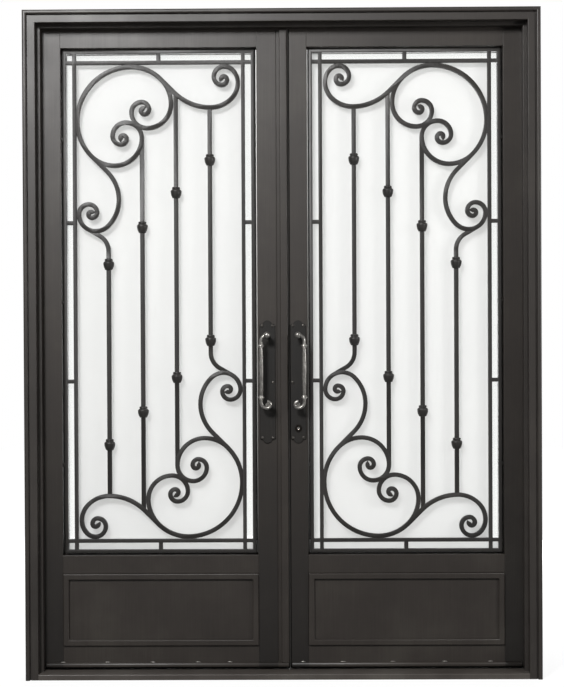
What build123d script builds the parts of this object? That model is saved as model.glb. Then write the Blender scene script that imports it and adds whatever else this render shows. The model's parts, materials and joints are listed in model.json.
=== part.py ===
from build123d import *
from math import cos, radians, sin
import os

# Wrought iron double entry door, in millimetres.
# X runs to the right seen from outside, the exterior faces -Y, and +Z is up.
# The origin is the centre of the threshold's underside.

# Overall frame
frame_width = 1880.0
frame_height = 2438.0
jamb_depth = 127.0
jamb_leg = 46.0
bead_width = 16.0
bead_proud = 8.0
bead_round = 6.0
quirk_width = 5.0
quirk_depth = 4.0
arris_round = 2.0

# Stops that the leaves close behind
stop_width = 13.0
stop_depth = 33.0
stop_gap = 5.0

# Threshold
sill_nose_height = 20.0
sill_back_height = 24.0
sill_tread_depth = 68.0
sill_nose_round = 3.0

# Leaves
leaf_thickness = 51.0
hinge_gap = 5.0
head_gap = 5.0
sill_gap = 11.0
meeting_gap = 8.0
hinge_stile_width = 76.0
meeting_stile_width = 72.0
top_rail_height = 74.0
middle_rail_height = 68.0
bottom_rail_height = 77.0
kick_panel_height = 266.0
kick_panel_recess = 2.0
stile_round = 1.5

# Kick panel moulding
moulding_width = 22.0
moulding_height = 10.0
moulding_round = 4.0

# Drip bar along the foot of each leaf
drip_height = 16.0
drip_depth = 11.0
drip_chamfer = 5.0
drip_end_gap = 6.0
drip_edge_gap = 2.0

# Glass and its frame
glass_setback = 34.0
glass_thickness = 12.0
glazing_lip_width = 4.0
glazing_lip_depth = 3.0
glazing_wall = 2.0
glazing_back_width = 18.0

# Grille
grille_setback = 4.0
grille_depth = 16.0
grille_gap = 8.0
outer_border_width = 12.7
inner_border_width = 14.0
border_strip_side = 22.0
border_strip_end = 25.0
tie_width = 12.0
tie_height = 292.0
lug_size = 12.0
lug_height = 600.0
picket_width = 16.0
picket_pitch = 125.0
inner_picket_head = 766.0
outer_picket_head = 714.0
picket_foot_radius = 64.0
picket_foot_turn = 60.0

# Cast knuckles on the pickets: a ball above a taper, with a small ring at each end
knuckle_radius = 20.0
knuckle_height = 20.0
taper_height = 12.0
neck_radius = 12.5
ring_radius = 15.0
ring_height = 9.0
knuckle_heights = [141, 277, 404, 524]

# Scrolls: each run is (radius, turn in degrees), or (length, 0) where the bar is straight
scroll_width = 16.0
crown_offset = -101.0
long_bar_loop = [(200, 90), (181, 45), (120, 45)]
long_bar_left_end = [(58, 90), (50, 90), (31, 90), (21, 90), (13, 90), (10, 150)]
long_bar_right = [(153, -45), (131, -45), (88, -90), (58, -90), (38, -90), (27, -90)]
long_bar_right += [(18, -90), (12, -90), (10, -120)]
upper_branch = [(72, 0), (188, 45), (108, 45), (84, 45), (66, 45), (44, 45)]
upper_branch += [(38, 90), (30, 90), (19, 90), (12, 90), (10, 120)]
lower_branch = [(80, 0), (147, -45), (136, -45), (65, -45)]
lower_branch_end = [(62, -90), (37, -90), (30, -90), (20, -90), (12, -90), (10, -150)]

# Pull plates and handles
plate_width = 58.0
plate_end = 55.0
plate_thickness = 5.0
plate_lobe_radius = 18.0
plate_shoulder = 13.0
plate_ear_round = 8.0
plate_edge_round = 1.5
post_spacing = 254.0
post_centre = 1127.0
post_radius = 7.0
ball_radius = 12.5
grip_offset = 22.0
grip_standoff = 45.0
grip_end_radius = 6.0
grip_middle_radius = 8.8
grip_collar_radius = 9.0
grip_collar_height = 6.0
upper_collar_drop = 39.0
lower_collar_rise = 27.0
curl_radius = 12.0

# Lock
cylinder_radius = 12.5
cylinder_proud = 4.0
cylinder_height = 912.0
turn_width = 8.0
turn_length = 32.0
turn_proud = 20.0

# Astragal: a post along the meeting edge of the left leaf, with a flat bar proud of its face
astragal_width = 40.0
astragal_bar_width = 28.0
astragal_proud = 11.5
astragal_round = 4.0
astragal_head_gap = 6.0

# Hinges
barrel_radius = 11.0
barrel_height = 60.0
barrel_play = 0.5
pin_radius = 6.0
pin_clearance = 0.05
pin_length = 50.0
hinge_tab_width = 34.0
hinge_tab_thickness = 5.0
hinge_setout = 0.5
hinge_inset = 240.0
hinge_count = 3

# Planes and edges that follow from the sizes above
front = -jamb_depth / 2
back = jamb_depth / 2
jamb_inner = frame_width / 2 - jamb_leg
head_inner = frame_height - jamb_leg
leaf_back = back
leaf_face = leaf_back - leaf_thickness
stop_back = leaf_face - stop_gap
stop_front = stop_back - stop_depth
leaf_outer = jamb_inner - hinge_gap
astragal_edge = astragal_width / 2
right_edge = astragal_edge + meeting_gap
leaf_top = head_inner - head_gap
leaf_bottom = sill_back_height + sill_gap
window_outer = leaf_outer - hinge_stile_width
window_inner = astragal_edge + meeting_stile_width
window_top = leaf_top - top_rail_height
kick_bottom = leaf_bottom + bottom_rail_height
kick_top = kick_bottom + kick_panel_height
window_bottom = kick_top + middle_rail_height
window_centre = (window_outer + window_inner) / 2
window_middle = (window_top + window_bottom) / 2
window_width = window_outer - window_inner
window_height = window_top - window_bottom
grille_front = leaf_face + grille_setback
grille_centre = grille_front + grille_depth / 2
glass_front = leaf_face + glass_setback
glass_back = glass_front + glass_thickness
left_plate_side = (astragal_edge + window_inner) / 2
right_plate_side = right_edge + plate_width / 2
plate_foot = cylinder_height - plate_end
plate_head = post_centre + post_spacing / 2 + plate_end
plate_height = plate_head - plate_foot
plate_centre = (plate_head + plate_foot) / 2
hinge_x = jamb_inner - hinge_gap / 2
hinge_y = back + barrel_radius + hinge_setout


def block(x, y, z):
    """Box between two corners, each axis given as (low, high)."""
    size = [high - low for low, high in (x, y, z)]
    centre = [(low + high) / 2 for low, high in (x, y, z)]
    return Pos(*centre) * Box(*size)


def facing(x, y, z):
    """Plane seen from outside: its own x to the right, its own y up, its normal outwards."""
    return Plane(origin=(x, y, z), x_dir=(1, 0, 0), z_dir=(0, -1, 0))


def head_wedge():
    """The part of the frame above its two mitre lines."""
    half = frame_width / 2
    reach = half - 1
    with BuildPart() as wedge:
        with BuildSketch(facing(0, 0, 0)):
            with BuildLine():
                Polyline(
                    (-half, frame_height),
                    (-half + reach, frame_height - reach),
                    (half - reach, frame_height - reach),
                    (half, frame_height),
                    close=True,
                )
            make_face()
        extrude(amount=jamb_depth, both=True)
    return wedge.part


def jamb_section():
    """Left jamb seen from above: leg, quirk and rounded outer bead."""
    outer = -frame_width / 2
    leg = Pos(outer + jamb_leg / 2, 0) * Rectangle(jamb_leg, jamb_depth)
    inner_arris = leg.vertices().sort_by(Axis.Y)[:2].sort_by(Axis.X)[-1]
    leg = fillet(inner_arris, arris_round)
    quirk_x = outer + bead_width + quirk_width / 2
    quirk = Pos(quirk_x, front + quirk_depth / 2) * Rectangle(quirk_width, quirk_depth)
    bead_y = front - bead_proud / 2
    bead = Pos(outer + bead_width / 2, bead_y) * Rectangle(bead_width, bead_proud)
    bead = fillet(bead.vertices().sort_by(Axis.Y)[:2], bead_round)
    return leg - quirk + bead


def stop_section():
    """Left stop seen from above: a flat bar with one eased edge."""
    centre_x = -jamb_inner + stop_width / 2
    bar = Pos(centre_x, stop_front + stop_depth / 2) * Rectangle(stop_width, stop_depth)
    return fillet(bar.vertices().sort_by(Axis.Y)[:2].sort_by(Axis.X)[-1], arris_round)


def mitred(section):
    """Left, right and head lengths of one section, mitred at the two top corners."""
    left = extrude(section, frame_height) - head_wedge()
    turned = Rot(0, 90, 0) * extrude(section, frame_width)
    lying = Pos(-frame_width / 2, 0, frame_height - frame_width / 2) * turned
    return left, mirror(left, about=Plane.YZ), lying & head_wedge()


def threshold():
    """Sill between the jambs, with a tread that falls to a rounded nose."""
    tread_back = front + sill_tread_depth
    with BuildPart() as sill:
        with BuildSketch(Plane.YZ):
            with BuildLine():
                Polyline(
                    (front, 0),
                    (back, 0),
                    (back, sill_back_height),
                    (tread_back, sill_back_height),
                    (front, sill_nose_height),
                    close=True,
                )
            face = make_face()
            fillet(face.vertices().sort_by(Axis.X)[:2].sort_by(Axis.Y)[-1], sill_nose_round)
        extrude(amount=jamb_inner, both=True)
    return sill.part


def stile(low, high, bottom, top):
    """Upright of a leaf with its two front arrises eased."""
    bar = block((low, high), (leaf_face, leaf_back), (bottom, top))
    edges = bar.edges().filter_by(Axis.Z).group_by(Axis.Y)[0]
    return fillet(edges, stile_round)


def rail(bottom, top):
    """Cross member between the stiles of the left leaf."""
    bar = block((-window_outer, -window_inner), (leaf_face, leaf_back), (bottom, top))
    edges = bar.edges().filter_by(Axis.X).group_by(Axis.Y)[0]
    return fillet(edges, stile_round)


def ring(outer_width, outer_height, width, depth):
    """Rectangular ring in the plane of the leaf, drawn about its own centre."""
    hole = Rectangle(outer_width - 2 * width, outer_height - 2 * width)
    return extrude(Rectangle(outer_width, outer_height) - hole, depth)


def kick_moulding():
    """Raised picture-frame moulding on the outside and inside of the kick panel."""
    bar = Rectangle(moulding_width, moulding_height)
    crown = fillet(bar.vertices().sort_by(Axis.Y)[2:], moulding_round)
    path = Rectangle(window_width - moulding_width, kick_panel_height - moulding_width)
    middle = (kick_bottom + kick_top) / 2
    outside = facing(-window_centre, leaf_face + kick_panel_recess, middle)
    inside = facing(-window_centre, leaf_back - kick_panel_recess, middle)
    side = -(window_width - moulding_width) / 2
    section = Plane(origin=(side, 0, moulding_height / 2), x_dir=(1, 0, 0), z_dir=(0, -1, 0))
    frame = sweep(section * crown, path.wire(), transition=Transition.RIGHT)
    turned = Rot(0, 180, 0) * frame
    return Compound(children=[outside.location * frame, inside.location * turned])


def drip_bar(outer, inner):
    """Bar along the foot of a leaf, bevelled on top to shed rain."""
    top = leaf_bottom + drip_height
    with BuildPart() as drip:
        with BuildSketch(Plane.YZ.offset(outer)):
            with BuildLine():
                Polyline(
                    (leaf_face, leaf_bottom),
                    (leaf_face, top),
                    (leaf_face - drip_depth + drip_chamfer, top),
                    (leaf_face - drip_depth, top - drip_chamfer),
                    (leaf_face - drip_depth, leaf_bottom),
                    close=True,
                )
            make_face()
        extrude(amount=inner - outer)
    return drip.part


def glazing_frame():
    """Frame that lines the window and holds the glass between two lips."""
    lining = ring(window_width, window_height, glazing_wall, leaf_back - glass_front + glazing_lip_depth)
    lip = ring(window_width, window_height, glazing_lip_width, glazing_lip_depth)
    cover = ring(window_width, window_height, glazing_back_width, leaf_back - glass_back)
    place = facing(-window_centre, leaf_back, window_middle).location
    lip_at = leaf_back - glass_front
    return place * (lining + Pos(0, 0, lip_at) * lip + cover)


def glass():
    """Glass unit inside the lining of its frame."""
    pane = Box(window_width - 2 * glazing_wall, glass_thickness, window_height - 2 * glazing_wall)
    return Pos(-window_centre, (glass_front + glass_back) / 2, window_middle) * pane


def border_sizes():
    """Half widths and half heights of the outer and inner borders of the grille."""
    outer = (window_width / 2 - grille_gap, window_height / 2 - grille_gap)
    inner = (
        outer[0] - outer_border_width - border_strip_side,
        outer[1] - outer_border_width - border_strip_end,
    )
    return outer, inner


def inner_field():
    """Half width and half height of the field inside the inner border."""
    half_width, half_height = border_sizes()[1]
    return half_width - inner_border_width, half_height - inner_border_width


def grille_place(sketch):
    """A sketch of the left grille, drawn about its centre, as bars in their place."""
    plane = facing(-window_centre, grille_front + grille_depth, window_middle)
    return plane.location * extrude(sketch, grille_depth)


def strip(x, y):
    """Flat rectangle between two corners, each axis given as (low, high)."""
    centre = (sum(x) / 2, sum(y) / 2)
    return Pos(*centre) * Rectangle(x[1] - x[0], y[1] - y[0])


def grille_border():
    """Two nested borders, the inner bars run out to the outer ones, with short ties between."""
    (outer_x, outer_y), (inner_x, inner_y) = border_sizes()
    reach_x = outer_x - outer_border_width
    reach_y = outer_y - outer_border_width
    sketch = Rectangle(2 * outer_x, 2 * outer_y) - Rectangle(2 * reach_x, 2 * reach_y)
    for side in (-1, 1):
        middle_x = side * (inner_x - inner_border_width / 2)
        middle_y = side * (inner_y - inner_border_width / 2)
        sketch += Pos(middle_x, 0) * Rectangle(inner_border_width, 2 * reach_y)
        sketch += Pos(0, middle_y) * Rectangle(2 * reach_x, inner_border_width)
        sketch += Pos(0, side * (inner_y + reach_y) / 2) * Rectangle(tie_width, reach_y - inner_y)
        for height in (-tie_height, tie_height):
            centre_x = side * (inner_x + reach_x) / 2
            sketch += Pos(centre_x, height) * Rectangle(reach_x - inner_x, tie_width)
    bars = grille_place(sketch)
    lugs = []
    for side in (-1, 1):
        for height in (-lug_height, 0, lug_height):
            middle = -window_centre + side * (window_width / 2 - grille_gap / 2)
            x = (middle - grille_gap / 2, middle + grille_gap / 2)
            y = (grille_front + grille_depth - lug_size, grille_front + grille_depth)
            z = window_middle + height
            lugs.append(block(x, y, (z - lug_size / 2, z + lug_size / 2)))
    return bars + lugs


def chain(start, heading, runs):
    """Tangent arcs from a start point; each run is (radius, turn), a turn of 0 is a straight."""
    edges = []
    point = Vector(*start)
    along = Vector(*heading)
    for radius, turn in runs:
        if turn:
            edge = JernArc(point, along, radius, turn)
        else:
            edge = Line(point, point + along * radius)
        edges.append(edge)
        point = edge @ 1
        along = edge % 1
    return edges


def scroll_bar(start, heading, runs):
    """Flat bar of the scroll's width along a chain of arcs."""
    return Sketch() + [trace(edge, scroll_width) for edge in chain(start, heading, runs)]


def crown():
    """Top of the long bar, where it touches the inner border."""
    return (crown_offset, inner_field()[1] - scroll_width / 2)


def loop_side():
    """Radius of the long bar's loop below its foot, so that the loop's side meets an inner picket."""
    foot = chain(crown(), (-1, 0), long_bar_loop)[-1] @ 1
    radius = -picket_pitch / 2 - foot.X
    return radius, foot.Y + radius


def lower_joint():
    """Where the lower branch leaves the long bar."""
    return chain(crown(), (-1, 0), long_bar_loop[:2])[-1] @ 1


def upper_scrolls():
    """Upper scrolls of the left leaf: one long bar with a volute at each end, and two branches."""
    slope = 0.5**0.5
    left_runs = long_bar_loop + [(loop_side()[0], 90)] + long_bar_left_end
    scrolls = scroll_bar(crown(), (-1, 0), left_runs)
    scrolls += scroll_bar(crown(), (1, 0), long_bar_right)
    upper_joint = chain(crown(), (1, 0), long_bar_right[:1])[-1] @ 1
    scrolls += scroll_bar(upper_joint, (slope, -slope), upper_branch)
    scrolls += scroll_bar(lower_joint(), (slope, -slope), lower_branch + lower_branch_end)
    return scrolls


def scroll_sketch():
    """Upper scrolls and the same scrolls turned half round for the foot of the grille."""
    upper = upper_scrolls()
    return upper + Rot(0, 0, 180) * upper


def outer_foot():
    """Centre line of an outer picket's foot: it bends aside and runs on into a volute's crest."""
    slope = 0.5**0.5
    crest = -(chain(lower_joint(), (slope, -slope), lower_branch)[-1] @ 1)
    turn = radians(picket_foot_turn)
    volute_radius = lower_branch_end[0][0]
    merge_x = crest.X + volute_radius * cos(turn)
    merge_y = crest.Y - volute_radius * (1 - sin(turn))
    outer = picket_pitch * 1.5
    run = (merge_x - outer - picket_foot_radius * (1 - cos(turn))) / sin(turn)
    bend_y = merge_y + picket_foot_radius * sin(turn) + run * cos(turn)
    return bend_y, chain((outer, bend_y), (0, -1), [(picket_foot_radius, picket_foot_turn), (run, 0)])


def picket_sketches():
    """Two pickets, and the same two turned half round, each long enough to reach its scrolls."""
    half = picket_width / 2
    inner = picket_pitch / 2
    outer = picket_pitch * 1.5
    bend_y, foot = outer_foot()
    short = strip((inner - half, inner + half), (-loop_side()[1], inner_picket_head))
    long = strip((outer - half, outer + half), (bend_y, outer_picket_head))
    long = long + [trace(edge, picket_width) for edge in foot]
    return [short, long, Rot(0, 0, 180) * short, Rot(0, 0, 180) * long]


def knuckle():
    """Cast knuckle on a picket, about the ball's middle."""
    shoulder = knuckle_height / 2
    foot = -shoulder - taper_height
    head = shoulder + ring_height
    crest = (knuckle_radius, 0)
    between = neck_radius + (knuckle_radius - neck_radius) * 0.75
    with BuildPart() as cast:
        with BuildSketch(Plane.XZ):
            with BuildLine():
                Line((0, foot), (neck_radius, foot))
                ThreePointArc((neck_radius, foot), (between, foot / 2), crest)
                ThreePointArc(crest, (between, shoulder * 0.75), (neck_radius, shoulder))
                ThreePointArc(
                    (neck_radius, shoulder),
                    (ring_radius, shoulder + ring_height / 2),
                    (neck_radius, head),
                )
                Polyline((neck_radius, head), (0, head), (0, foot))
            make_face()
        revolve(axis=Axis.Z)
    return cast.part


def knuckle_places():
    """Picket offsets and heights of the knuckles, and the same places turned half round."""
    places = []
    for index, height in enumerate(knuckle_heights):
        offset = (index - 1.5) * picket_pitch
        places += [(offset, height), (-offset, -height)]
    return places


def pickets(scrolls):
    """Pickets with their knuckles, in one piece each."""
    bars = [grille_place(sketch) - scrolls for sketch in picket_sketches()]
    bars = Part() + [bar.solids().sort_by(SortBy.VOLUME)[-1] for bar in bars]
    cast = knuckle()
    for offset, height in knuckle_places():
        bars += Pos(-window_centre + offset, grille_centre, window_middle + height) * cast
    return bars


def plate_sketch():
    """Pull plate: a bar with two rounded screw ears and a lobe between them at each end."""
    half = plate_height / 2
    plate = RectangleRounded(plate_width, 2 * (half - plate_shoulder), plate_ear_round)
    for side in (-1, 1):
        plate += Pos(0, side * (half - plate_lobe_radius)) * Circle(plate_lobe_radius)
    return plate


def pull_plate(x, y):
    """Plate standing on a face of the leaf, its outer edge eased; it grows outwards from y."""
    plate = extrude(plate_sketch(), plate_thickness)
    plate = chamfer(plate.faces().sort_by(Axis.Z)[-1].edges(), plate_edge_round)
    return facing(x, y, plate_centre).location * plate


def pull_handle(x, face, side):
    """Pull on the outside of a leaf: two posts, two arms and a swelling grip."""
    depth = face - grip_standoff
    grip_x = x + side * grip_offset
    top = post_centre + post_spacing / 2
    foot = post_centre - post_spacing / 2
    upper_collar = top - upper_collar_drop
    lower_collar = foot + lower_collar_rise
    middle = (upper_collar + lower_collar) / 2
    post = facing(x, face, 0)
    handle = Part()
    for height in (foot, top):
        handle += Pos(0, 0, height) * post.location * extrude(Circle(post_radius), grip_standoff)
    handle += Pos(x, depth, top) * Sphere(ball_radius)
    upper_arm = chain((x, top), (side, 0), [(grip_offset, -90 * side), (top - grip_offset - upper_collar, 0)])
    lower_start = foot - curl_radius
    lower_runs = [
        (lower_collar - lower_start - grip_offset, 0),
        (grip_offset, -90 * side),
        (curl_radius, -90 * side),
        (curl_radius, -90 * side),
    ]
    lower_arm = chain((grip_x, lower_collar), (0, -1), lower_runs)
    for arm in (upper_arm, lower_arm):
        wire = facing(0, depth, 0).location * Wire(arm)
        section = Plane(origin=wire @ 0, z_dir=wire % 0) * Circle(grip_end_radius)
        handle += sweep(section, wire)
    with BuildPart() as grip:
        with BuildSketch(Plane.XZ):
            with BuildLine():
                ThreePointArc(
                    (grip_end_radius, lower_collar),
                    (grip_middle_radius, middle),
                    (grip_end_radius, upper_collar),
                )
                Polyline(
                    (grip_end_radius, upper_collar),
                    (0, upper_collar),
                    (0, lower_collar),
                    (grip_end_radius, lower_collar),
                )
            make_face()
        revolve(axis=Axis.Z)
        for height in (lower_collar, upper_collar):
            with Locations((0, 0, height)):
                Cylinder(grip_collar_radius, grip_collar_height)
    return handle + Pos(grip_x, depth, 0) * grip.part


def inner_pull(x):
    """The same plate and pull on the inside of a leaf, in one piece."""
    outside = pull_plate(x, 0) + pull_handle(x, -plate_thickness, -1)
    return Pos(0, leaf_back, 0) * mirror(outside, about=Plane.XZ)


def lock_cylinder():
    """Key cylinder through the outer plate and thumbturn on the inner plate of the right leaf."""
    outer_face = leaf_face - plate_thickness - cylinder_proud
    key_side = facing(right_plate_side, leaf_face, cylinder_height)
    key = key_side.location * extrude(Circle(cylinder_radius), leaf_face - outer_face)
    rose_at = facing(right_plate_side, leaf_back + plate_thickness + cylinder_proud, cylinder_height)
    rose = rose_at.location * extrude(Circle(cylinder_radius), cylinder_proud)
    turn_low = leaf_back + plate_thickness + cylinder_proud
    turn = block(
        (right_plate_side - turn_length / 2, right_plate_side + turn_length / 2),
        (turn_low, turn_low + turn_proud),
        (cylinder_height - turn_width / 2, cylinder_height + turn_width / 2),
    )
    return Compound(children=[key, rose + turn])


def astragal():
    """Post on the meeting edge of the left leaf, with a flat bar flush with its free edge."""
    post = stile(-astragal_edge, astragal_edge, leaf_bottom, leaf_top)
    low = astragal_edge - astragal_bar_width
    foot = leaf_bottom + drip_height
    head = head_inner - stop_width - astragal_head_gap
    bar = block((low, astragal_edge), (leaf_face - astragal_proud, leaf_face + stile_round), (foot, head))
    front_edges = bar.edges().filter_by(Axis.Z).group_by(Axis.Y)[0]
    return post + fillet(front_edges, astragal_round)


def hinge_heights():
    """Middle height of each hinge, evenly spread between the insets."""
    low = leaf_bottom + hinge_inset
    high = leaf_top - hinge_inset
    step = (high - low) / (hinge_count - 1)
    return [low + index * step for index in range(hinge_count)]


def frame_hinge():
    """Lower half of a hinge about its own middle: barrel, pin and tab on the jamb."""
    barrel = Pos(0, 0, -barrel_height / 2) * Cylinder(barrel_radius, barrel_height)
    pin = Cylinder(pin_radius, pin_length, align=(Align.CENTER, Align.CENTER, Align.MIN))
    tab_y = back - hinge_y
    tab = block((-hinge_tab_width, 0), (tab_y, tab_y + hinge_tab_thickness), (-barrel_height, 0))
    return barrel + tab + pin


def leaf_hinge():
    """Upper half of a hinge: barrel bored for the pin, and tab on the leaf."""
    top = barrel_play + barrel_height
    barrel = Pos(0, 0, barrel_play + barrel_height / 2) * Cylinder(barrel_radius, barrel_height)
    tab_y = back - hinge_y
    tab = block((0, hinge_tab_width), (tab_y, tab_y + hinge_tab_thickness), (barrel_play, top))
    bore = Cylinder(
        pin_radius + pin_clearance,
        pin_length + barrel_play,
        align=(Align.CENTER, Align.CENTER, Align.MIN),
    )
    return barrel + tab - bore


def hinge_row(hinge):
    """One half of every hinge of the left leaf."""
    places = [Pos(-hinge_x, hinge_y, height) for height in hinge_heights()]
    return Compound(children=[place * hinge for place in places])


def leaf_pieces():
    """Every piece of the left leaf that the right leaf mirrors."""
    scrolls = grille_place(scroll_sketch()) - grille_place(border_only())
    return {
        "hinge_stile": stile(-leaf_outer, -window_outer, leaf_bottom, leaf_top),
        "top_rail": rail(window_top, leaf_top),
        "middle_rail": rail(kick_top, window_bottom),
        "bottom_rail": rail(leaf_bottom, kick_bottom),
        "kick_panel": block(
            (-window_outer, -window_inner),
            (leaf_face + kick_panel_recess, leaf_back - kick_panel_recess),
            (kick_bottom, kick_top),
        ),
        "kick_moulding": kick_moulding(),
        "glass": glass(),
        "glazing_frame": glazing_frame(),
        "grille_border": grille_border(),
        "scrollwork": scrolls,
        "pickets": pickets(scrolls),
        "leaf_hinges": hinge_row(leaf_hinge()),
    }


def pulls(side):
    """Plates and pulls of a left leaf whose plates are centred this far from the middle."""
    return {
        "pull_plate": pull_plate(-side, leaf_face),
        "pull_handle": pull_handle(-side, leaf_face - plate_thickness, -1),
        "inner_pull": inner_pull(-side),
    }


def border_only():
    """Everything outside the field of the inner border."""
    field_x, field_y = inner_field()
    (outer_x, outer_y), _ = border_sizes()
    return Rectangle(2 * outer_x, 2 * outer_y) - Rectangle(2 * field_x, 2 * field_y)


def build():
    """Every named piece of the door."""
    pieces = {}
    jambs = mitred(jamb_section())
    pieces["left_jamb"], pieces["right_jamb"], pieces["head_jamb"] = jambs
    sill = threshold()
    pieces["threshold"] = sill
    left_stop, right_stop, head_stop = mitred(stop_section())
    pieces["left_stop"] = left_stop - sill
    pieces["right_stop"] = right_stop - sill
    pieces["head_stop"] = head_stop
    frame_hinges = hinge_row(frame_hinge())
    pieces["left_frame_hinges"] = frame_hinges
    pieces["right_frame_hinges"] = mirror(frame_hinges, about=Plane.YZ)
    for name, shape in leaf_pieces().items():
        pieces[f"left_{name}"] = shape
        pieces[f"right_{name}"] = mirror(shape, about=Plane.YZ)
    for name, shape in pulls(left_plate_side).items():
        pieces[f"left_{name}"] = shape
    for name, shape in pulls(right_plate_side).items():
        pieces[f"right_{name}"] = mirror(shape, about=Plane.YZ)
    pieces["left_meeting_stile"] = stile(-window_inner, -astragal_edge, leaf_bottom, leaf_top)
    pieces["right_meeting_stile"] = stile(right_edge, window_inner, leaf_bottom, leaf_top)
    drip_end = jamb_inner - stop_width - drip_end_gap
    pieces["left_drip_bar"] = drip_bar(-drip_end, astragal_edge - drip_edge_gap)
    pieces["right_drip_bar"] = drip_bar(right_edge + drip_edge_gap, drip_end)
    pieces["astragal"] = astragal()
    lock = lock_cylinder()
    pieces["lock_cylinder"] = lock
    pieces["right_pull_plate"] = pieces["right_pull_plate"] - lock
    return pieces


os.makedirs("parts", exist_ok=True)
for name, shape in build().items():
    export_step(shape, f"parts/{name}.step")
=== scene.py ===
import bmesh
import bpy
import json
import math
from mathutils import Matrix, Vector


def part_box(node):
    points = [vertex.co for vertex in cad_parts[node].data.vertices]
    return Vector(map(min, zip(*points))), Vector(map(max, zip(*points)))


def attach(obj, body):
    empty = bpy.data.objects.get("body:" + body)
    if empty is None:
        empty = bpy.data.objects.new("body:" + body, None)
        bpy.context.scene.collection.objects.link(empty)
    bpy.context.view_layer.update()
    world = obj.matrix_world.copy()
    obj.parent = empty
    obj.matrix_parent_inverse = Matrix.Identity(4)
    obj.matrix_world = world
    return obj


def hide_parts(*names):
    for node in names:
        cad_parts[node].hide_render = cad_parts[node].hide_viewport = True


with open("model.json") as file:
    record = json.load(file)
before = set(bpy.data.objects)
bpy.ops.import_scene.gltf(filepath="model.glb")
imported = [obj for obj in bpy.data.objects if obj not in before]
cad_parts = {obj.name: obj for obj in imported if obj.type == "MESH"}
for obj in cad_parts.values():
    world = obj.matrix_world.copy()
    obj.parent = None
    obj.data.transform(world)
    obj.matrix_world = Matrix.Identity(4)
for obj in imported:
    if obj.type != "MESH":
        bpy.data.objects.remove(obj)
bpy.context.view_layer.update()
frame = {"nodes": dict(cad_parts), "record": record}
bpy.ops.object.select_all(action="DESELECT")
scene = bpy.context.scene
scene.view_settings.view_transform = "Standard"


# Colour and node helpers

def linear(colour):
    """Linear RGBA of an sRGB hex colour such as "8c8a86"."""
    channels = [int(colour[i:i + 2], 16) / 255 for i in (0, 2, 4)]
    return [c / 12.92 if c <= 0.04045 else ((c + 0.055) / 1.055) ** 2.4 for c in channels] + [1.0]


def add(owner, kind, settings=None, **inputs):
    """One node of a material or the world with its settings and inputs.

    An input is a value or another node's socket, and a name such as _1 stands for it by number.
    """
    tree = owner.node_tree
    node = tree.nodes.new(kind)
    for name, value in (settings or {}).items():
        setattr(node, name, value)
    for name, value in inputs.items():
        key = int(name[1:]) if name[0] == "_" else name.replace("_", " ")
        if isinstance(value, bpy.types.NodeSocket):
            tree.links.new(value, node.inputs[key])
        else:
            node.inputs[key].default_value = value
    return node


def new_material(name):
    """Empty node material."""
    material = bpy.data.materials.new(name)
    material.use_nodes = True
    material.node_tree.nodes.clear()
    return material


def finish_surface(material, shader):
    """Joins a shader to the material's output."""
    add(material, "ShaderNodeOutputMaterial", Surface=shader)
    return material


def steps(node, *stops):
    """Sets the colour stops of a ramp, each as (place, hex colour), and gives its colour socket."""
    ramp = node.color_ramp
    while len(ramp.elements) < len(stops):
        ramp.elements.new(0.5)
    for element, (place, colour) in zip(ramp.elements, stops):
        element.position = place
        element.color = linear(colour)
    return node.outputs["Color"]


# Materials; places and sizes on the door are in metres here

# Middle of each leaf's window and panel, across from the middle of the door
LEAF_MIDDLE = 0.4525
# Half widths of a leaf's panels and rails, and of the meeting post
PANEL_HALF = 0.3605
POST_HALF = 0.021
# Heights where the painted shade on the stiles is strongest and where it ends
PAINTED_SHADE_FULL_HEIGHT = 0.1
PAINTED_SHADE_END_HEIGHT = 1.3


def painted_stile_shade(material, place, foot):
    """Share of the paint's tone for painted shade on the stiles: foot low on a stile, all of it above and
    on panels, rails and post.
    """
    parts = add(material, "ShaderNodeSeparateXYZ", Vector=place)
    height = add(material, "ShaderNodeMapRange", Value=parts.outputs["Z"], From_Min=PAINTED_SHADE_FULL_HEIGHT,
                 From_Max=PAINTED_SHADE_END_HEIGHT, To_Min=foot, To_Max=1.0)
    across = add(material, "ShaderNodeMath", {"operation": "ABSOLUTE"}, _0=parts.outputs["X"])
    panel = add(material, "ShaderNodeMath", {"operation": "COMPARE"}, _0=across.outputs[0],
                _1=LEAF_MIDDLE, _2=PANEL_HALF)
    post = add(material, "ShaderNodeMath", {"operation": "LESS_THAN"}, _0=across.outputs[0], _1=POST_HALF)
    plain = add(material, "ShaderNodeMath", {"operation": "MAXIMUM"}, _0=panel.outputs[0],
                _1=post.outputs[0])
    share = add(material, "ShaderNodeMath", {"operation": "MAXIMUM"}, _0=height.outputs[0],
                _1=plain.outputs[0])
    return share.outputs[0]


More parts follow.
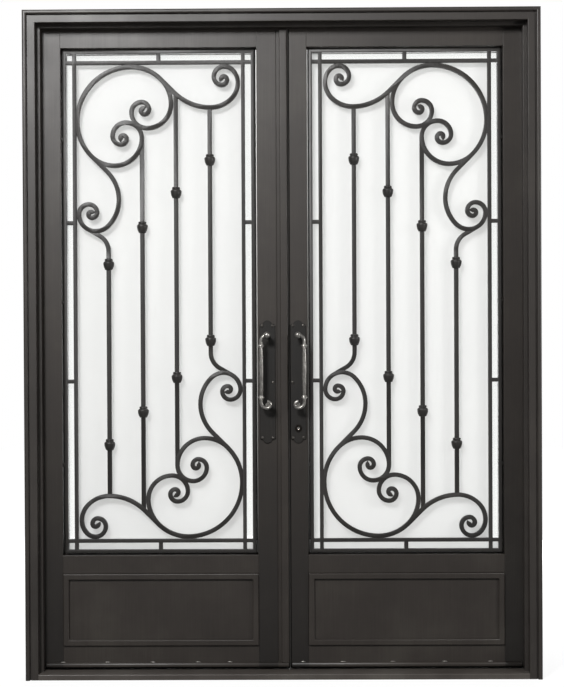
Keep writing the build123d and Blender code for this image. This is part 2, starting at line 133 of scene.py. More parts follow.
def painted_iron(name, dark, mid, light, roughness=0.42, hammered=0.0, ior=1.5, foot=1.0):
    """Mild steel under a dark bronze satin paint, brushed on by hand.

    The eye gets slow mottling from brown to grey, fine upright brush lines and a soft gleam; a foot below 1
    darkens the stiles towards their foot as painted shade.
    """
    material = new_material(name)
    place = add(material, "ShaderNodeTexCoord").outputs["Object"]
    # Cloudy tone changes about 250 mm across
    cloud = add(material, "ShaderNodeTexNoise", Vector=place, Scale=4.0, Detail=4.0, Roughness=0.6)
    # Brush lines 3 mm wide and 200 mm long
    stretched = add(material, "ShaderNodeMapping", Vector=place, Scale=(330.0, 330.0, 5.0))
    brush = add(material, "ShaderNodeTexNoise", Vector=stretched.outputs["Vector"], Scale=1.0, Detail=3.0)
    # Paint grit of 1.5 mm
    grit = add(material, "ShaderNodeTexNoise", Vector=place, Scale=650.0, Detail=2.0)
    # Tone and gloss follow the clouds, and the brush lines show faintly in them
    blend = add(material, "ShaderNodeMix", {"data_type": "FLOAT"}, _0=0.3,
                _2=cloud.outputs["Fac"], _3=brush.outputs["Fac"])
    tone = steps(add(material, "ShaderNodeValToRGB", Fac=blend.outputs[0]),
                 (0.32, dark), (0.5, mid), (0.7, light))
    rough = add(material, "ShaderNodeMapRange", Value=blend.outputs[0], From_Min=0.3, From_Max=0.7,
                To_Min=roughness + 0.06, To_Max=roughness - 0.06)
    relief = add(material, "ShaderNodeMix", {"data_type": "FLOAT"}, _0=0.35,
                 _2=brush.outputs["Fac"], _3=grit.outputs["Fac"])
    bump = add(material, "ShaderNodeBump", Strength=0.25, Distance=0.0004, Height=relief.outputs[0])
    # Hammer marks about 9 mm across on forged bars
    marks = add(material, "ShaderNodeTexNoise", Vector=place, Scale=110.0, Detail=1.0)
    forged = add(material, "ShaderNodeBump", Strength=hammered, Distance=0.002,
                 Height=marks.outputs["Fac"], Normal=bump.outputs["Normal"])
    # Painted shade: the tone is scaled down low on the stiles by the share from the stile mask
    shaded_tone = add(material, "ShaderNodeVectorMath", {"operation": "SCALE"}, _0=tone,
                 Scale=painted_stile_shade(material, place, foot))
    paint = add(material, "ShaderNodeBsdfPrincipled", Base_Color=shaded_tone.outputs["Vector"],
                Roughness=rough.outputs[0], Metallic=0.0, IOR=ior, Normal=forged.outputs["Normal"])
    return finish_surface(material, paint.outputs["BSDF"])


# Middle and half size of the etched field of each leaf's glass, across and up
FIELD_CENTRE = (LEAF_MIDDLE, 1.3795)
FIELD_HALF = (0.311, 0.882)
# Middle and half width of the strip beside the right leaf's meeting stile that is made greyer as painted
# shade
SHADED_STRIP_MIDDLE = FIELD_CENTRE[0] - FIELD_HALF[0] - 0.02
SHADED_STRIP_HALF = 0.021
# Share of the light that goes straight through the etched field, the clean strip and the strip made greyer
# as painted shade
FIELD_CLEAR = 0.22
STRIP_CLEAR = 0.8
SHADED_STRIP_CLEAR = 0.32


def etched_field(material, place):
    """Acid-etched glass: white and soft, lit from both sides, so it takes the grille's shadow."""
    # Faint change of tone across the pane
    haze = add(material, "ShaderNodeTexNoise", Vector=place, Scale=1.3, Detail=2.0)
    tint = steps(add(material, "ShaderNodeValToRGB", Fac=haze.outputs["Fac"]),
                 (0.3, "c6c6c6"), (0.7, "cececd"))
    # Bite of the acid, about 1 mm across
    etch = add(material, "ShaderNodeTexNoise", Vector=place, Scale=900.0, Detail=2.0)
    bump = add(material, "ShaderNodeBump", Strength=0.1, Distance=0.0002, Height=etch.outputs["Fac"])
    pane = add(material, "ShaderNodeBsdfPrincipled", Base_Color=tint, Roughness=0.5, IOR=1.5,
               Normal=bump.outputs["Normal"])
    through = add(material, "ShaderNodeBsdfTranslucent", Color=linear("f6f6f5"))
    field = add(material, "ShaderNodeMixShader", Fac=0.45,
                _1=pane.outputs["BSDF"], _2=through.outputs["BSDF"])
    return field.outputs["Shader"]


def clear_share(material, place):
    """Share of clear glass: a little in the field, most in the strip round it, less where the strip is made
    greyer as painted shade.
    """
    parts = add(material, "ShaderNodeSeparateXYZ", Vector=place)
    across = add(material, "ShaderNodeMath", {"operation": "ABSOLUTE"}, _0=parts.outputs["X"])
    outside = []
    for value, middle, half in zip((across.outputs[0], parts.outputs["Z"]), FIELD_CENTRE, FIELD_HALF):
        offset = add(material, "ShaderNodeMath", {"operation": "SUBTRACT"}, _0=value, _1=middle)
        distance = add(material, "ShaderNodeMath", {"operation": "ABSOLUTE"}, _0=offset.outputs[0])
        beyond = add(material, "ShaderNodeMath", {"operation": "GREATER_THAN"}, _0=distance.outputs[0],
                     _1=half)
        outside.append(beyond.outputs[0])
    strip = add(material, "ShaderNodeMath", {"operation": "MAXIMUM"}, _0=outside[0], _1=outside[1])
    # Painted shade: the strip is greyer below the field and beside the right leaf's meeting stile
    below = add(material, "ShaderNodeMath", {"operation": "LESS_THAN"}, _0=parts.outputs["Z"],
                _1=FIELD_CENTRE[1] - FIELD_HALF[1])
    beside = add(material, "ShaderNodeMath", {"operation": "COMPARE"}, _0=parts.outputs["X"],
                 _1=SHADED_STRIP_MIDDLE, _2=SHADED_STRIP_HALF)
    shaded_strip = add(material, "ShaderNodeMath", {"operation": "MAXIMUM"}, _0=below.outputs[0],
                _1=beside.outputs[0])
    strip_share = add(material, "ShaderNodeMapRange", Value=shaded_strip.outputs[0], To_Min=STRIP_CLEAR,
                      To_Max=SHADED_STRIP_CLEAR)
    share = add(material, "ShaderNodeMapRange", Value=strip.outputs[0], To_Min=FIELD_CLEAR,
                To_Max=strip_share.outputs[0])
    return share.outputs[0]


def etched_glass(name):
    """Sealed glass unit, acid-etched in the field and nearly clear in a strip round it.

    The eye gets an even white field, and a brighter, sharper band along its edges.
    """
    material = new_material(name)
    place = add(material, "ShaderNodeTexCoord").outputs["Object"]
    clear = add(material, "ShaderNodeBsdfTransparent", Color=linear("fdfefd"))
    unit = add(material, "ShaderNodeMixShader", Fac=clear_share(material, place),
               _1=etched_field(material, place), _2=clear.outputs["BSDF"])
    return finish_surface(material, unit.outputs["Shader"])


def rubbed_metal(name, dark, light, roughness):
    """Bare metal with an aged finish, worn by hands: patina in random upright streaks, lighter and darker.
    """
    material = new_material(name)
    place = add(material, "ShaderNodeTexCoord").outputs["Object"]
    # Patina in streaks 6 mm wide and 17 mm long, upright as the hand rubs
    drawn = add(material, "ShaderNodeMapping", Vector=place, Scale=(160.0, 160.0, 60.0))
    patina = add(material, "ShaderNodeTexNoise", Vector=drawn.outputs["Vector"], Scale=1.0, Detail=5.0,
                 Roughness=0.7)
    tone = steps(add(material, "ShaderNodeValToRGB", Fac=patina.outputs["Fac"]), (0.3, dark), (0.6, light))
    # Casting grain of about 1 mm
    grain = add(material, "ShaderNodeTexNoise", Vector=place, Scale=900.0, Detail=2.0)
    bump = add(material, "ShaderNodeBump", Strength=0.15, Distance=0.0002, Height=grain.outputs["Fac"])
    rough = add(material, "ShaderNodeMapRange", Value=patina.outputs["Fac"], From_Min=0.3, From_Max=0.7,
                To_Min=roughness + 0.1, To_Max=roughness - 0.06)
    metal = add(material, "ShaderNodeBsdfPrincipled", Base_Color=tone, Metallic=0.9,
                Roughness=rough.outputs[0], Normal=bump.outputs["Normal"])
    return finish_surface(material, metal.outputs["BSDF"])


def black_rubber(name):
    """Extruded rubber seals: black, dull, with a faint tone of dust."""
    material = new_material(name)
    place = add(material, "ShaderNodeTexCoord").outputs["Object"]
    # Dust in specks of about 5 mm
    dust = add(material, "ShaderNodeTexNoise", Vector=place, Scale=220.0, Detail=3.0)
    tone = steps(add(material, "ShaderNodeValToRGB", Fac=dust.outputs["Fac"]),
                 (0.35, "2a2826"), (0.7, "383633"))
    seal = add(material, "ShaderNodeBsdfPrincipled", Base_Color=tone, Roughness=0.8, IOR=1.5)
    return finish_surface(material, seal.outputs["BSDF"])


def silicone_painted_light(name, low, middle, high):
    """White glazing silicone: smooth, slightly glossy; its white is painted light for the lit glass seen
    through the gap, and it turns greyer towards the foot as painted shade.
    """
    material = new_material(name)
    place = add(material, "ShaderNodeTexCoord").outputs["Object"]
    parts = add(material, "ShaderNodeSeparateXYZ", Vector=place)
    # Painted shade from the foot of the window to near its head
    height = add(material, "ShaderNodeMapRange", Value=parts.outputs["Z"], From_Min=0.45, From_Max=2.25)
    # Dust in patches of about 80 mm over the painted shade with height
    dust = add(material, "ShaderNodeTexNoise", Vector=place, Scale=12.0, Detail=3.0)
    shade_and_dust = add(material, "ShaderNodeMix", {"data_type": "FLOAT"}, _0=0.15,
                _2=height.outputs[0], _3=dust.outputs["Fac"])
    tone = steps(add(material, "ShaderNodeValToRGB", Fac=shade_and_dust.outputs[0]),
                 (0.08, low), (0.45, middle), (0.9, high))
    bead = add(material, "ShaderNodeBsdfPrincipled", Base_Color=tone, Roughness=0.45, IOR=1.45)
    return finish_surface(material, bead.outputs["BSDF"])


def pale_floor(name):
    """Studio floor: seen as white with the door's shadow on it; to the door itself it is a plain grey."""
    material = new_material(name)
    path = add(material, "ShaderNodeLightPath")
    place = add(material, "ShaderNodeTexCoord").outputs["Object"]
    reach = add(material, "ShaderNodeVectorMath", {"operation": "LENGTH"}, _0=place)
    # Full white from 3.5 m away, a little lower round the door
    glow = add(material, "ShaderNodeMapRange", Value=reach.outputs["Value"], From_Min=0.9, From_Max=3.5,
               To_Min=0.80, To_Max=1.0)
    matt = add(material, "ShaderNodeBsdfDiffuse", Color=linear("8c8c8c"))
    white = add(material, "ShaderNodeEmission", Color=(1.0, 1.0, 1.0, 1.0), Strength=glow.outputs[0])
    bright = add(material, "ShaderNodeAddShader", _0=matt.outputs["BSDF"], _1=white.outputs["Emission"])
    seen = add(material, "ShaderNodeMixShader", Fac=path.outputs["Is Camera Ray"],
               _1=matt.outputs["BSDF"], _2=bright.outputs["Shader"])
    return finish_surface(material, seen.outputs["Shader"])


# Bronze paint of the fixed frame, and the leaves in the same paint, with painted shade darkening the stiles
# towards their foot
frame_paint = painted_iron("frame_paint", "27231f", "302c29", "3d3935")
leaf_paint = painted_iron("leaf_paint", "26211d", "2f2a26", "3b3732", foot=0.42)
# Forged grille bars, with hammer marks under a duller paint
grille_paint = painted_iron("grille_paint", "1d1b19", "262422", "33302d", roughness=0.46, hammered=0.35)
# Sill in a paler copy of the bronze paint, as painted light on the tread lit from above
threshold_paint_painted_light = painted_iron("threshold_paint_painted_light", "3c3733", "4a4541", "5b5752", roughness=0.38)
# Near-black plates behind the pulls, and the hinge barrels
plate_paint = painted_iron("plate_paint", "12100f", "1a1816", "262320", roughness=0.46, ior=1.42)
hinge_paint = painted_iron("hinge_paint", "211e1b", "2a2724", "35322f", roughness=0.4)
# Cast pewter pulls, with a lighter copy of the pewter on the collars and rings that stand proud as a
# painted highlight
pewter = rubbed_metal("pewter", "5b5955", "b2afaa", roughness=0.32)
pewter_painted_highlight = rubbed_metal("pewter_painted_highlight", "9a9792", "dedbd6", roughness=0.3)
# Aged bronze cylinder with a nickel plug
lock_bronze = rubbed_metal("lock_bronze", "14110f", "2c2824", roughness=0.42)
plug_nickel = rubbed_metal("plug_nickel", "8f8d88", "d8d6d0", roughness=0.25)
# Steel screws with a dark pewter finish, and welds in a light bare-steel tone that stands in for glints:
# painted glints
screw_pewter = rubbed_metal("screw_pewter", "33312e", "5d5a56", roughness=0.38)
weld_steel_painted_glint = rubbed_metal("weld_steel_painted_glint", "6b6965", "aeaba6", roughness=0.36)
glass = etched_glass("glass")
rubber = black_rubber("seal_rubber")
# White strips beside the meeting edges: painted light for the lit glass seen through the gap, the right one
# greyer as painted shade
painted_light_silicones = {
    "left": silicone_painted_light("left_silicone", "32312f", "b9b8b4", "f6f6f3"),
    "right": silicone_painted_light("right_silicone", "32312f", "8f8e8b", "f6f6f3"),
}

SLOT_MATERIALS = {
    "frame_iron": frame_paint,
    "leaf_iron": leaf_paint,
    "grille_iron": grille_paint,
    "threshold_steel": threshold_paint_painted_light,
    "frosted_glass": glass,
    "pull_pewter": pewter,
    "pull_plate_iron": plate_paint,
    "lock_brass": lock_bronze,
    "hinge_steel": hinge_paint,
}

for part in frame["record"]["subparts"]:
    node = frame["nodes"][part["node"]]
    node.data.materials.clear()
    node.data.materials.append(SLOT_MATERIALS[part["material_slot"]])


# Modelling helpers; from here on sizes are in millimetres, and the helpers turn them to metres

MM = 0.001
# Way across the door from its middle to the hinge side of each leaf
OUTWARDS = {"left": -1, "right": 1}


def box_mm(node):
    """Lowest and highest corner of a CAD node."""
    low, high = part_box(node)
    return [v / MM for v in low], [v / MM for v in high]


def middle_mm(node):
    """Middle of a CAD node's box."""
    return [(a + b) / 2 for a, b in zip(*box_mm(node))]


def only(piece):
    """Makes one piece the selected and active one."""
    bpy.ops.object.select_all(action="DESELECT")
    piece.select_set(True)
    bpy.context.view_layer.objects.active = piece


def settle(piece, name, material):
    """Names a piece, puts its place into its mesh and gives it its material."""
    only(piece)
    bpy.ops.object.transform_apply(location=True, rotation=True, scale=True)
    piece.name = name
    piece.data.name = name
    piece.data.materials.clear()
    piece.data.materials.append(material)
    return piece


def new_box(name, low, high, material, arris):
    """Box between two corners, with its edges rounded over."""
    bpy.ops.object.select_all(action="DESELECT")
    centre = [(a + b) / 2 * MM for a, b in zip(low, high)]
    size = [(b - a) * MM for a, b in zip(low, high)]
    bpy.ops.mesh.primitive_cube_add(size=1.0, location=centre, scale=size)
    piece = settle(bpy.context.active_object, name, material)
    bpy.ops.object.mode_set(mode="EDIT")
    bpy.ops.mesh.select_all(action="SELECT")
    bpy.ops.mesh.bevel(offset=arris * MM, segments=2, affect="EDGES")
    bpy.ops.object.mode_set(mode="OBJECT")
    return piece


def new_disc(name, radius, depth, place, material, sides):
    """Round disc about a place, facing the front."""
    bpy.ops.object.select_all(action="DESELECT")
    bpy.ops.mesh.primitive_cylinder_add(vertices=sides, radius=radius * MM, depth=depth * MM,
                                        location=[v * MM for v in place], rotation=(math.pi / 2, 0.0, 0.0))
    return settle(bpy.context.active_object, name, material)


def new_ring(name, radius, thickness, material, around, section):
    """Level ring about the origin: radius of its middle line and of its wire, and its facets each way."""
    bpy.ops.object.select_all(action="DESELECT")
    bpy.ops.mesh.primitive_torus_add(major_radius=radius * MM, minor_radius=thickness * MM,
                                     major_segments=around, minor_segments=section)
    ring = settle(bpy.context.active_object, name, material)
    bpy.ops.object.shade_smooth()
    return ring


def pick_faces(piece, wanted):
    """In edit mode, selects the faces whose centre and normal pass a test."""
    bpy.ops.mesh.select_all(action="DESELECT")
    bpy.ops.mesh.select_mode(type="FACE")
    mesh = bmesh.from_edit_mesh(piece.data)
    for face in mesh.faces:
        face.select_set(bool(wanted(face.calc_center_median() / MM, face.normal)))
    mesh.select_flush_mode()
    bmesh.update_edit_mesh(piece.data)


def cut_across(point, direction):
    """In edit mode, cuts all faces along a plane through a point and keeps both halves."""
    bpy.ops.mesh.select_all(action="SELECT")
    bpy.ops.mesh.bisect(plane_co=[v * MM for v in point], plane_no=direction)


def sink(depth):
    """In edit mode, extrudes the picked faces straight back."""
    bpy.ops.mesh.extrude_region_move(TRANSFORM_OT_translate={"value": (0.0, depth * MM, 0.0)})


def copy_at(piece, name, place, turn=0.0, slope=0.0):
    """Copy with its own mesh, turned about its own upright and front axes and moved to a place."""
    twin = piece.copy()
    twin.data = piece.data.copy()
    scene.collection.objects.link(twin)
    turned = Matrix.Rotation(turn, 4, "Z") @ Matrix.Rotation(slope, 4, "Y")
    twin.matrix_world = Matrix.Translation([v * MM for v in place]) @ turned
    return settle(twin, name, piece.data.materials[0])


# Screws of the pull plates

SCREW_RADIUS = 5.6
SCREW_RIM = 0.8
# Steps of the oval head, each as how far it goes inwards and forwards
SCREW_CROWN = ((1.2, 0.9), (1.8, 0.5))
SLOT_HALF = 0.6
SLOT_DEPTH = 0.9

# Screws in the plate's ears, from its ends and to either side of its middle
EAR_INSET = 20.0
EAR_REACH = 19.5
# Screw by the plate's edge at the meeting gap, from its middle, and that screw's height
EDGE_REACH = 20.5
EDGE_HEIGHT = 1081.0
# Turn of each screw's slot from upright, in degrees
SLOT_ANGLES = (25, 70, 110, 15, 95)
INNER_PLATE_THICKNESS = 5.0


def inner_plate_face(side):
    """Depth of the face of the plate on the inside of a leaf."""
    return box_mm(side + "_inner_pull")[0][1] + INNER_PLATE_THICKNESS


def slotted_screw():
    """Oval-head slotted screw of 11 mm about the origin, its head towards the front."""
    screw = new_disc("slotted_screw", SCREW_RADIUS, SCREW_RIM, (0.0, -SCREW_RIM / 2, 0.0), screw_pewter, 28)
    bpy.ops.object.mode_set(mode="EDIT")
    for inwards, forwards in SCREW_CROWN:
        pick_faces(screw, lambda centre, normal: normal.y < -0.99)
        bpy.ops.mesh.inset(thickness=inwards * MM, depth=forwards * MM)
    for side in (-1, 1):
        cut_across((side * SLOT_HALF, 0.0, 0.0), (1.0, 0.0, 0.0))
    pick_faces(screw, lambda centre, normal: abs(centre.x) < SLOT_HALF and normal.y < -0.3)
    sink(SLOT_DEPTH)
    bpy.ops.mesh.select_all(action="SELECT")
    bpy.ops.mesh.normals_make_consistent(inside=False)
    bpy.ops.object.mode_set(mode="OBJECT")
    return screw


def plate_screws():
    """Two screws in the ears at each end of a pull plate and one by its inner edge, outside and inside."""
    screw = slotted_screw()
    for side, out in OUTWARDS.items():
        low, high = box_mm(side + "_pull_plate")
        middle = middle_mm(side + "_pull_plate")[0]
        spots = [(middle + dx, z) for z in (low[2] + EAR_INSET, high[2] - EAR_INSET)
                 for dx in (-EAR_REACH, EAR_REACH)]
        spots.append((middle - out * EDGE_REACH, EDGE_HEIGHT))
        inner_face = inner_plate_face(side)
        for number, (x, z) in enumerate(spots):
            slope = math.radians(SLOT_ANGLES[number])
            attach(copy_at(screw, f"{side}_plate_screw_{number + 1}", (x, low[1], z), 0.0, slope),
                    side + "_leaf")
            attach(copy_at(screw, f"{side}_inner_screw_{number + 1}", (x, inner_face, z), math.pi, slope),
                    side + "_leaf")
    bpy.data.objects.remove(screw)


# Grips: outwards from the middle of their plate and proud of its face, and the heights of their collars

GRIP_OFFSET = 22.0
GRIP_STANDOFF = 45.0
COLLAR_HEIGHTS = (1027.0, 1215.0)
# Radius of the middle line and of the wire, and how far the fine rings lie from a collar's middle
COLLAR_SIZE = (8.0, 3.4)
FINE_RING_SIZE = (7.0, 1.5)
FINE_RING_STEP = 5.4


def grip_collars():
    """Rounded collars near both ends of each grip, with a finer ring above and below."""
    # Collars and rings take the lighter pewter copy, a painted highlight
    collar = new_ring("grip_collar", *COLLAR_SIZE, pewter_painted_highlight, 40, 14)
    ring = new_ring("grip_ring", *FINE_RING_SIZE, pewter_painted_highlight, 40, 10)
    for side, out in OUTWARDS.items():
        x = middle_mm(side + "_pull_plate")[0] + out * GRIP_OFFSET
        depths = {
            "outer": box_mm(side + "_pull_plate")[0][1] - GRIP_STANDOFF,
            "inner": inner_plate_face(side) + GRIP_STANDOFF,
        }
        for face, y in depths.items():
            for number, z in enumerate(COLLAR_HEIGHTS):
                name = f"{side}_{face}_collar_{number + 1}"
                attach(copy_at(collar, name, (x, y, z)), side + "_leaf")
                for label, step in (("below", -FINE_RING_STEP), ("above", FINE_RING_STEP)):
                    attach(copy_at(ring, f"{name}_{label}", (x, y, z + step)), side + "_leaf")
    bpy.data.objects.remove(collar)
    bpy.data.objects.remove(ring)


# Plug of the lock cylinder: its size, how far it stands back, its dished face and its keyway

PLUG_RADIUS = 4.6
PLUG_DEPTH = 1.6
PLUG_SETBACK = 0.3
PLUG_RIM = 0.8
PLUG_DISH = 0.3
KEYWAY_HALF_WIDTH = 0.8
KEYWAY_HALF_HEIGHT = 3.0
KEYWAY_DEPTH = 0.9


def lock_plug():
    """Nickel plug with its keyway in the middle of the lock cylinder."""
    middle = middle_mm("lock_cylinder")
    x, z = middle[0], middle[2]
    front = box_mm("lock_cylinder")[0][1]
    plug = new_disc("lock_plug", PLUG_RADIUS, PLUG_DEPTH, (x, front + PLUG_SETBACK, z), plug_nickel, 32)
    bpy.ops.object.mode_set(mode="EDIT")
    pick_faces(plug, lambda centre, normal: normal.y < -0.99)
    bpy.ops.mesh.inset(thickness=PLUG_RIM * MM, depth=-PLUG_DISH * MM)
    for side in (-1, 1):
        cut_across((x + side * KEYWAY_HALF_WIDTH, 0.0, 0.0), (1.0, 0.0, 0.0))
        cut_across((0.0, 0.0, z + side * KEYWAY_HALF_HEIGHT), (0.0, 0.0, 1.0))
    pick_faces(plug, lambda centre, normal: abs(centre.x - x) < KEYWAY_HALF_WIDTH
               and abs(centre.z - z) < KEYWAY_HALF_HEIGHT and normal.y < -0.9 and centre.y < front)
    sink(KEYWAY_DEPTH)
    bpy.ops.object.mode_set(mode="OBJECT")
    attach(plug, "right_leaf")


# Stitch welds on the drip bars: half size of a bead, places across, and how it sits on rail and bar

WELD_HALF = (9.0, 2.6, 2.4)
WELD_PLACES = {
    "left": (-815.0, -651.0, -484.0, -317.0, -199.0),
    "right": (71.0, 217.0, 401.0, 592.0, 760.0),
}
WELD_PROUD = 1.6
WELD_RISE = 0.9


def weld_bead():
    """Short weld about the origin, a flattened bead along x."""
    bpy.ops.object.select_all(action="DESELECT")
    bpy.ops.mesh.primitive_uv_sphere_add(segments=16, ring_count=8, radius=MM, scale=WELD_HALF)
    # Light bare-steel tone on the welds: painted glints
    bead = settle(bpy.context.active_object, "weld_bead", weld_steel_painted_glint)
    bpy.ops.object.shade_smooth()
    return bead


def drip_welds():
    """Stitch welds along the top of each drip bar."""
    bead = weld_bead()
    for side, places in WELD_PLACES.items():
        top = box_mm(side + "_drip_bar")[1][2]
        face = box_mm(side + "_bottom_rail")[0][1]
        for number, x in enumerate(places):
            place = (x, face - WELD_PROUD, top + WELD_RISE)
            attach(copy_at(bead, f"{side}_drip_weld_{number + 1}", place), side + "_leaf")
    bpy.data.objects.remove(bead)


# Rubber seals: depth of each meeting lip and how far it goes into the gap

LIP_DEPTHS = {"left": (13.8, 24.0), "right": (44.0, 55.0)}
LIP_REACH = 5.5
# Depth of the sweeps, their gap over the sill and what they leave free at the hinge and meeting ends
SWEEP_DEPTH = (30.0, 60.0)
SWEEP_GAP = 0.6
SWEEP_HINGE_END = 2.0
SWEEP_MEETING_END = 0.1
# How far a seal is held in the iron, the gap below the lips and the rounding of the rubber
SEAL_HOLD = 1.0
LIP_GAP = 1.0
SEAL_ARRIS = 1.0


def meeting_lips(sill):
    """Rubber lip on each side of the meeting gap, one behind the other."""
    stile = box_mm("right_meeting_stile")
    edges = {"left": box_mm("astragal")[1][0], "right": stile[0][0]}
    for side, out in OUTWARDS.items():
        ends = sorted((edges[side] + out * SEAL_HOLD, edges[side] - out * LIP_REACH))
        front, back = LIP_DEPTHS[side]
        lip = new_box(side + "_meeting_lip", (ends[0], front, sill + LIP_GAP), (ends[1], back, stile[1][2]),
                      rubber, SEAL_ARRIS)
        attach(lip, side + "_leaf")


def sweeps(sill):
    """Rubber sweep under each leaf, from its hinge stile to the meeting gap."""
    meeting = {"left": "astragal", "right": "right_meeting_stile"}
    for side in OUTWARDS:
        stile = box_mm(side + "_hinge_stile")
        edge = box_mm(meeting[side])
        ends = (stile[0][0] + SWEEP_HINGE_END, stile[1][0] - SWEEP_HINGE_END,
                edge[0][0] + SWEEP_MEETING_END, edge[1][0] - SWEEP_MEETING_END)
        top = box_mm(side + "_bottom_rail")[0][2] + SEAL_HOLD
        sweep = new_box(side + "_sweep", (min(ends), SWEEP_DEPTH[0], sill + SWEEP_GAP),
                        (max(ends), SWEEP_DEPTH[1], top), rubber, SEAL_ARRIS)
        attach(sweep, side + "_leaf")


def seals():
    """Rubber lips in the meeting gap and a sweep under each leaf."""
    sill = box_mm("threshold")[1][2]
    meeting_lips(sill)
    sweeps(sill)


# White sealant beside each window's meeting edge, painted light for the lit glass seen through the gap: its
# width in sight, its hold, depth, ends and rounding

SEALANT_WIDTHS = {"left": 2.9, "right": 3.6}
SEALANT_HOLD = 0.2
SEALANT_DEPTH = (20.0, 23.0)
SEALANT_END = 9.0
SEALANT_ARRIS = 0.5


def glazing_strips():
    """White silicone strip beside the grille, down the meeting edge of each window, as painted light."""
    for side, out in OUTWARDS.items():
        low, high = box_mm(side + "_glazing_frame")
        edge = high[0] if side == "left" else low[0]
        ends = sorted((edge - out * SEALANT_HOLD, edge + out * SEALANT_WIDTHS[side]))
        strip = new_box(side + "_glazing_strip", (ends[0], SEALANT_DEPTH[0], low[2] + SEALANT_END),
                        (ends[1], SEALANT_DEPTH[1], high[2] - SEALANT_END), painted_light_silicones[side], SEALANT_ARRIS)
        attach(strip, side + "_leaf")


# Ties between the two borders of a grille, measured from its middle: the gap they cross, and their places

GAP_ACROSS = (317.8, 340.0)
GAP_UP = (887.8, 912.8)
TIE_HEIGHT = 292.0
TIE_HALF = 6.4
# How far a tie stands back from the border's faces and runs into the border's bars
TIE_SETBACK = 0.6
TIE_HOLD = 1.0
TIE_ARRIS = 1.0


def border_ties():
    """Stout square ties between the two borders of each grille."""
    for side in OUTWARDS:
        low, high = box_mm(side + "_grille_border")
        middle = middle_mm(side + "_grille_border")
        front, back = low[1] + TIE_SETBACK, high[1] - TIE_SETBACK
        spots = []
        for across in (-1, 1):
            xs = sorted(middle[0] + across * v for v in GAP_ACROSS)
            for up in (-1, 1):
                z = middle[2] + up * TIE_HEIGHT
                spots.append(((xs[0], z - TIE_HALF), (xs[1], z + TIE_HALF)))
        for up in (-1, 1):
            zs = sorted(middle[2] + up * v for v in GAP_UP)
            spots.append(((middle[0] - TIE_HALF, zs[0]), (middle[0] + TIE_HALF, zs[1])))
        for number, (corner, far) in enumerate(spots):
            tie = new_box(f"{side}_border_tie_{number + 1}",
                          (corner[0] - TIE_HOLD, front, corner[1] - TIE_HOLD),
                          (far[0] + TIE_HOLD, back, far[1] + TIE_HOLD), grille_paint, TIE_ARRIS)
            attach(tie, side + "_leaf")


# Upper knuckles: heights above the window's middle, from the hinge side inwards; lower ones mirror them

KNUCKLE_HEIGHTS = (141.0, 277.0, 404.0, 524.0)
PICKET_PITCH = 125.0
# Rings of a knuckle: name, radius of the middle line and of the wire, and height from the ball's middle
KNUCKLE_RINGS = (("foot", 11.2, 3.6, -18.6), ("neck", 12.4, 2.2, 9.8))


def knuckle_rings():
    """Cast ring under the ball of each knuckle and a finer one between the ball and the ring above."""
    rings = [(new_ring(f"knuckle_{name}", radius, thickness, grille_paint, 28, 10), name, rise)
             for name, radius, thickness, rise in KNUCKLE_RINGS]
    for side, out in OUTWARDS.items():
        middle = middle_mm(side + "_grille_border")
        spots = []
        for index, height in enumerate(KNUCKLE_HEIGHTS):
            offset = out * ((len(KNUCKLE_HEIGHTS) - 1) / 2 - index) * PICKET_PITCH
            spots += [(offset, height), (-offset, -height)]
        for number, (offset, height) in enumerate(spots):
            for ring, name, rise in rings:
                place = (middle[0] + offset, middle[1], middle[2] + height + rise)
                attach(copy_at(ring, f"{side}_knuckle_{number + 1}_{name}", place), side + "_leaf")
    for ring, name, rise in rings:
        bpy.data.objects.remove(ring)


# Iron pieces with their arrises eased, in place of the sharp solids

# Points nearer than this are merged, and faces within this angle of each other are one face
MERGE_DISTANCE = 0.01
FLAT_ANGLE = 0.5
# Edges sharper than this are eased, and rounded pieces are shaded smooth up to the lower angle
SHARP_ANGLE = 50
SMOOTH_ANGLE = 35

# Width of the eased arris, and whether the piece is shaded round as forged bars are
LEAF_ARRISES = {
    "scrollwork": (1.4, True),
    "pickets": (1.4, True),
    "grille_border": (1.4, True),
    "kick_moulding": (2.6, False),
    "drip_bar": (1.5, True),
    "pull_plate": (0.8, False),
}
ASTRAGAL_ARRIS = 1.6


def eased_copy(node_name, body, width, rounded):
    """Merged copy of a CAD node with its sharp edges bevelled; it stands for the node."""
    node = frame["nodes"][node_name]
    twin = node.copy()
    twin.data = node.data.copy()
    twin.parent = None
    twin.matrix_world = node.matrix_world.copy()
    scene.collection.objects.link(twin)
    settle(twin, node_name + "_forged", node.data.materials[0])
    bpy.ops.object.mode_set(mode="EDIT")
    bpy.ops.mesh.select_all(action="SELECT")
    bpy.ops.mesh.remove_doubles(threshold=MERGE_DISTANCE * MM)
    bpy.ops.mesh.dissolve_limited(angle_limit=math.radians(FLAT_ANGLE))
    bpy.ops.object.mode_set(mode="OBJECT")
    bevel = twin.modifiers.new("arris", "BEVEL")
    bevel.width = width * MM
    bevel.segments = 2
    bevel.limit_method = "ANGLE"
    bevel.angle_limit = math.radians(SHARP_ANGLE)
    only(twin)
    bpy.ops.object.modifier_apply(modifier="arris")
    if rounded:
        bpy.ops.object.shade_smooth_by_angle(angle=math.radians(SMOOTH_ANGLE))
    else:
        bpy.ops.object.shade_flat()
    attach(twin, body)
    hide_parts(node_name)


def eased_ironwork():
    """Eased bars, mouldings and plates of both leaves, and the bar over the meeting gap."""
    for side in OUTWARDS:
        for part_name, (width, rounded) in LEAF_ARRISES.items():
            eased_copy(f"{side}_{part_name}", f"{side}_leaf", width, rounded)
    eased_copy("astragal", "left_leaf", ASTRAGAL_ARRIS, rounded=False)


plate_screws()
knuckle_rings()
border_ties()
grip_collars()
lock_plug()
drip_welds()
seals()
glazing_strips()
eased_ironwork()


# Floor, light and camera; places and sizes are in metres again

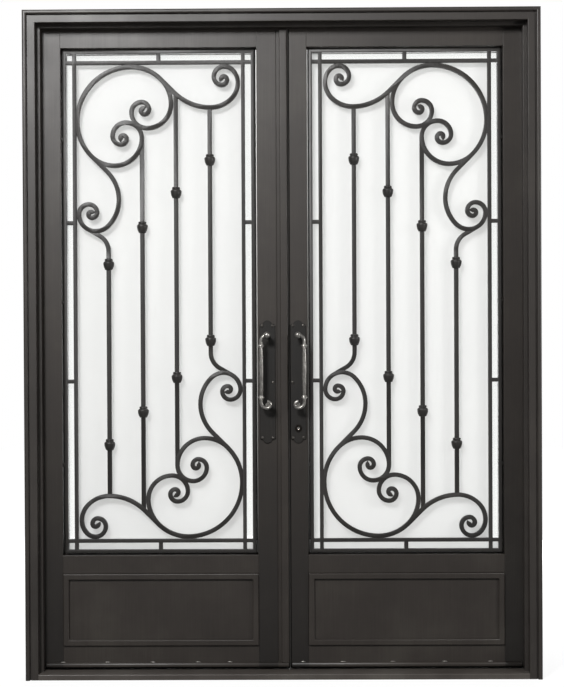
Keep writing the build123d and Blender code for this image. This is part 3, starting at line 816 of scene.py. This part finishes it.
def floor():
    """Pale plain floor under the door."""
    bpy.ops.mesh.primitive_plane_add(size=30.0, location=(0.0, 0.0, 0.0))
    sheet = bpy.context.active_object
    sheet.name = "studio_floor"
    sheet.data.materials.append(pale_floor("studio_floor"))


def softbox(name, place, aim, size, watts):
    """Square area light that faces a point."""
    light = bpy.data.lights.new(name, "AREA")
    light.size = size
    light.energy = watts
    lamp = bpy.data.objects.new(name, light)
    scene.collection.objects.link(lamp)
    direction = Vector(aim) - Vector(place)
    lamp.matrix_world = Matrix.Translation(place) @ direction.to_track_quat("-Z", "Y").to_matrix().to_4x4()


# Strength of the white surround as light on the door, where the camera sees 1
SURROUND_LIGHT = 0.12


def studio_world():
    """Even white surround: white to the camera and through the glass, much lower as light on the door."""
    world = bpy.data.worlds.new("studio")
    scene.world = world
    world.use_nodes = True
    world.node_tree.nodes.clear()
    path = add(world, "ShaderNodeLightPath")
    seen = add(world, "ShaderNodeMath", {"operation": "MAXIMUM"}, _0=path.outputs["Is Camera Ray"],
               _1=path.outputs["Is Transmission Ray"])
    strength = add(world, "ShaderNodeMapRange", Value=seen.outputs[0], To_Min=SURROUND_LIGHT, To_Max=1.0)
    light = add(world, "ShaderNodeBackground", Color=(1.0, 1.0, 1.0, 1.0), Strength=strength.outputs[0])
    add(world, "ShaderNodeOutputWorld", Surface=light.outputs[0])


# Where the photograph was taken from: its place, and the turns left, up and about the view in degrees
CAMERA_PLACE = (0.080, -5.6935, 1.150)
CAMERA_YAW = 0.5597
CAMERA_PITCH = -0.5087
CAMERA_ROLL = -0.2678
# Lens on a sensor 36 mm wide, and its shift as a share of that width
SENSOR_WIDTH = 36.0
LENS_LENGTH = 98.997
LENS_SHIFT = (-0.0130, 0.0601)


def photo_camera():
    """Camera at the photograph's place and angle."""
    yaw, pitch, roll = (math.radians(a) for a in (CAMERA_YAW, CAMERA_PITCH, CAMERA_ROLL))
    right = Vector((math.cos(yaw), math.sin(yaw), 0.0))
    level = Vector((-math.sin(yaw), math.cos(yaw), 0.0))
    up = Vector((0.0, 0.0, 1.0))
    ahead = level * math.cos(pitch) + up * math.sin(pitch)
    above = up * math.cos(pitch) - level * math.sin(pitch)
    side = right * math.cos(roll) + above * math.sin(roll)
    top = above * math.cos(roll) - right * math.sin(roll)
    lens = bpy.data.cameras.new("photo_camera")
    lens.sensor_fit = "HORIZONTAL"
    lens.sensor_width = SENSOR_WIDTH
    lens.lens = LENS_LENGTH
    lens.shift_x, lens.shift_y = LENS_SHIFT
    camera = bpy.data.objects.new("photo_camera", lens)
    scene.collection.objects.link(camera)
    turn = Matrix((side, top, -ahead)).transposed().to_4x4()
    camera.matrix_world = Matrix.Translation(CAMERA_PLACE) @ turn
    scene.camera = camera


# Name, place, point it faces, side in metres and watts of each softbox
SOFTBOXES = (
    ("key_light", (-1.7, -5.0, 4.4), (0.0, 0.0, 1.2), 1.2, 285.0),
    ("gleam_light", (-2.1, -3.4, 3.6), (-0.8, 0.0, 2.0), 1.2, 42.0),
    ("fill_light", (-1.2, -9.0, 4.8), (0.0, 0.0, 1.2), 3.0, 26.0),
    ("rim_light", (3.2, -1.9, 1.9), (0.2, 0.0, 1.2), 0.7, 46.0),
    ("back_light", (0.8, 4.5, 0.9), (0.1, 0.0, 1.0), 4.0, 400.0),
)

floor()
for softbox_settings in SOFTBOXES:
    softbox(*softbox_settings)
studio_world()
photo_camera()
